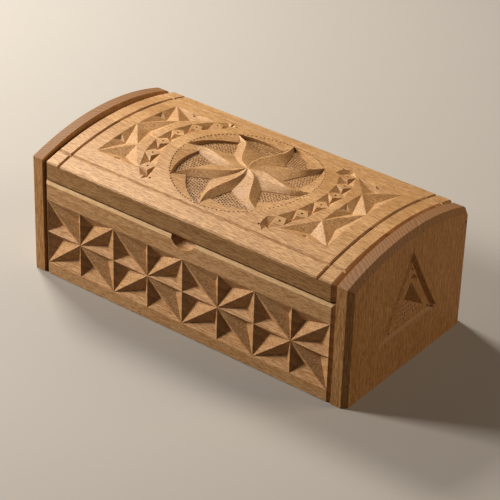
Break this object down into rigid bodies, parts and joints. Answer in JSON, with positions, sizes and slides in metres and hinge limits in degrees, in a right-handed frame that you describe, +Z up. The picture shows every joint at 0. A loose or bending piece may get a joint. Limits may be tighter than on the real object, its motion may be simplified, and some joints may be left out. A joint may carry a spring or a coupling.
{
  "type": "wooden puzzle box",
  "caption": "Carved wooden puzzle box with an arched lid: an end panel slides up and a hidden lever behind it lets the lid's catch go.",
  "frame": {"origin": "middle of the base, on the surface that the box stands on", "axes": "+X along the length towards the fixed end, +Y to the hinged back, +Z up"},
  "size_m": [0.24, 0.121, 0.0902],
  "materials": {
    "lid_wood": "oiled, satin",
    "panel_wood": "oiled, satin",
    "end_wood": "oiled, satin",
    "inner_wood": "bare, planed",
    "peg_wood": "bare, turned",
    "hinge_steel": "dull, darkened"
  },
  "bodies": {
    "box_body": {"front_panel": "panel_wood", "back_panel": "panel_wood", "right_end_panel": "end_wood", "left_inner_wall": "inner_wood", "bottom_board": "inner_wood", "lock_cheek_front": "inner_wood", "lock_cheek_rear": "inner_wood", "lock_sill": "inner_wood", "dovetail_rail_front": "inner_wood", "dovetail_rail_rear": "inner_wood", "rail_pegs": "peg_wood", "stop_peg": "peg_wood", "end_dowels": "peg_wood", "lever_pivot_peg": "peg_wood", "hinge_lug": "inner_wood", "hinge_pin_left": "hinge_steel", "hinge_brad_right": "hinge_steel"},
    "sliding_end": {"left_end_panel": "end_wood"},
    "lock_lever": {"locking_lever": "inner_wood", "lever_finger_peg": "peg_wood"},
    "lid_assembly": {"lid": "lid_wood", "lid_catch": "inner_wood"}
  },
  "joints": [
    {"name": "end_panel_slide", "type": "slide", "parent": "box_body", "child": "sliding_end", "axis": [0, 0, 1], "range_m": [0, 0.022]},
    {"name": "lever_swing", "type": "hinge", "parent": "box_body", "child": "lock_lever", "pos_m": [-0.1034, 0.006, 0.034], "axis": [1, 0, 0], "range_deg": [0, 12]},
    {"name": "lid_hinge", "type": "hinge", "parent": "box_body", "child": "lid_assembly", "pos_m": [0, 0.0562, 0.0722], "axis": [-1, 0, 0], "range_deg": [0, 110]}
  ]
}
